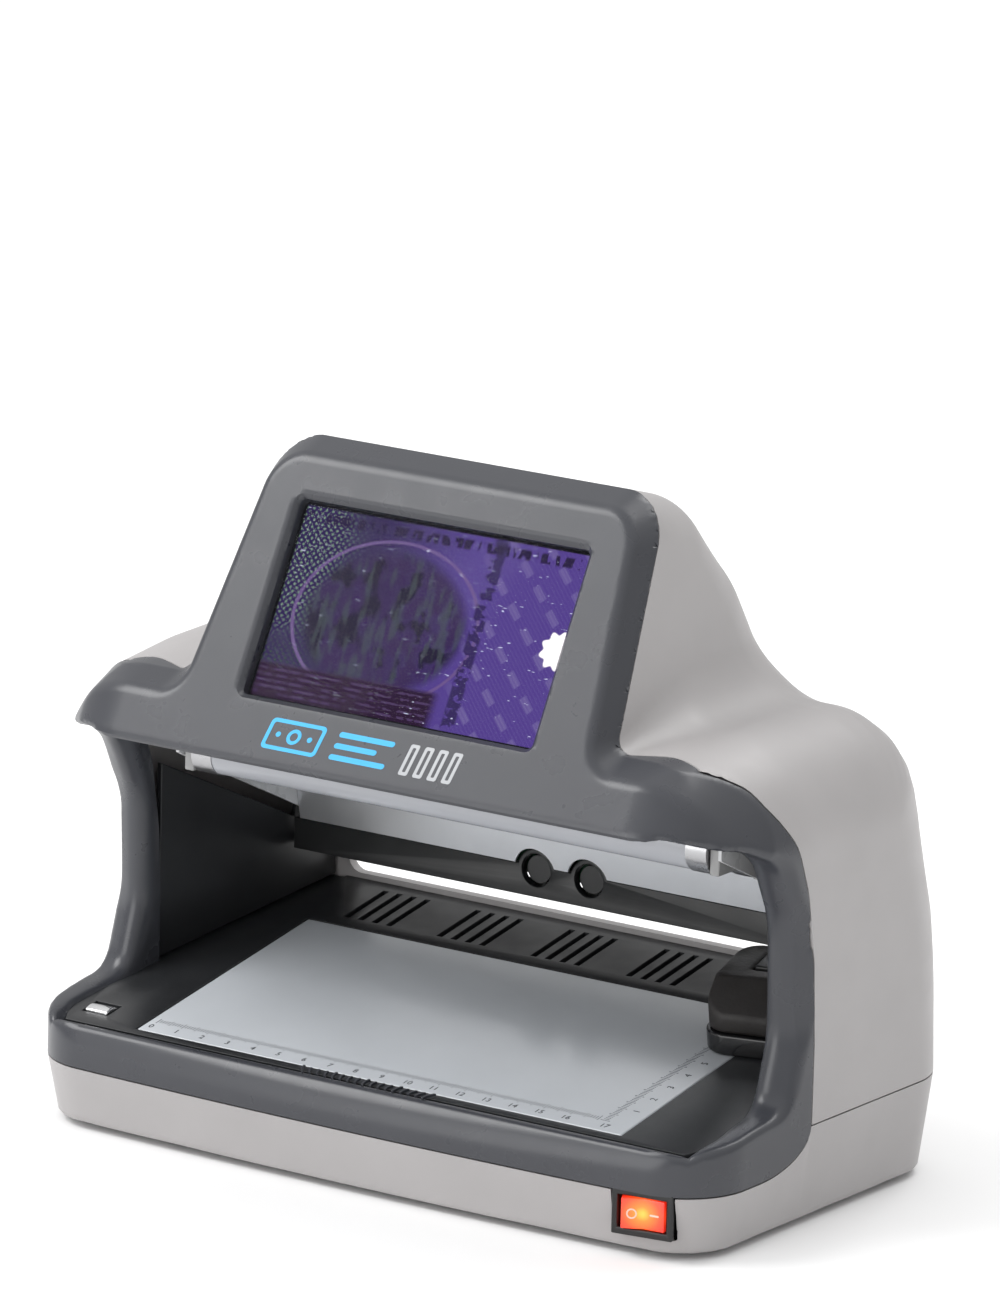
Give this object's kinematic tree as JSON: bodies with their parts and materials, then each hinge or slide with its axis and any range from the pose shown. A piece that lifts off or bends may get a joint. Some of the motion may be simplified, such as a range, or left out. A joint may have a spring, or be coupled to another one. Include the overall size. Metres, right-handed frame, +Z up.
{
  "type": "counterfeit bill detector",
  "caption": "Desktop banknote detector: a lit ruled plate in an open bay under ultraviolet lamps and cameras, with a leaning screen in a raised hood above.",
  "frame": {"origin": "bottom centre of the whole object, at table level", "axes": "+X to the user's right along the width, +Y from the front lip to the back, +Z up"},
  "size_m": [0.2716, 0.1516, 0.228],
  "materials": {
    "light_grey_shell": "fine spark texture",
    "graphite_frame": "satin",
    "dark_tray": "fine matt texture",
    "black_plastic": "satin",
    "opal_acrylic": "satin, back lit",
    "circuit_board": "solder mask",
    "board_part": "moulded",
    "diode": "clear resin",
    "clear_window": "polished",
    "display": "lit panel",
    "bright_sheet": "bright rolled",
    "white_sheet": "satin white",
    "lamp_glass": "coated",
    "holder_white": "moulded",
    "bright_metal": "polished",
    "spring_steel": "drawn wire",
    "zinc_steel": "zinc plated",
    "red_rocker": "lit, translucent",
    "rubber_black": "moulded",
    "grip_cover": "soft grained"
  },
  "bodies": {
    "housing": {"base_shell": "light_grey_shell", "upper_shell": "light_grey_shell", "front_bezel": "graphite_frame", "work_tray": "dark_tray", "left_cheek": "dark_tray", "right_cheek": "dark_tray", "light_plate": "opal_acrylic", "light_guide": "opal_acrylic", "backlight_board": "circuit_board", "backlight_diodes": "diode", "camera_bar": "black_plastic", "white_light_camera": "black_plastic", "infrared_camera": "black_plastic", "camera_board": "circuit_board", "reflector": "bright_sheet", "left_reflector_end": "white_sheet", "right_reflector_end": "white_sheet", "lamp_tubes": "lamp_glass", "lamp_caps": "bright_metal", "lamp_holders": "holder_white", "screen_window": "clear_window", "lcd_panel": "display", "lcd_bracket": "zinc_steel", "main_board": "circuit_board", "board_posts": "zinc_steel", "board_screws": "zinc_steel", "board_chips": "board_part", "heat_sink": "bright_sheet", "power_board": "circuit_board", "power_posts": "holder_white", "power_parts": "board_part", "power_socket": "black_plastic", "accessory_socket": "zinc_steel", "speaker": "black_plastic", "switch_collar": "black_plastic", "switch_blades": "zinc_steel", "head_spring": "spring_steel", "head_guide": "black_plastic", "rubber_feet": "rubber_black", "base_screws": "zinc_steel"},
    "rocker": {"switch_rocker": "red_rocker"},
    "head": {"magnetic_head": "bright_metal"},
    "viewer": {"viewer_skirt": "black_plastic", "viewer_cover": "grip_cover", "viewer_lens": "clear_window"},
    "viewer_key": {"viewer_button": "black_plastic"}
  },
  "joints": [
    {"name": "switch_rock", "type": "hinge", "parent": "housing", "child": "rocker", "pos_m": [0.10799, -0.06907, 0.0149], "axis": [0, 0, 1], "range_deg": [-16, 0]},
    {"name": "head_press", "type": "slide", "parent": "housing", "child": "head", "axis": [0, 0, 1], "range_m": [-0.0015, 0], "stiffness_N_per_m": 300, "springref_m": 0.0005, "deforming": ["head_spring"]},
    {"name": "viewer_draw", "type": "slide", "parent": "housing", "child": "viewer", "axis": [0, -1, 0], "range_m": [0, 0.07]},
    {"name": "viewer_button_press", "type": "slide", "parent": "viewer", "child": "viewer_key", "axis": [0, -0.1547, 0.988], "range_m": [-0.0008, 0], "stiffness_N_per_m": 400, "springref_m": 0.0005}
  ]
}
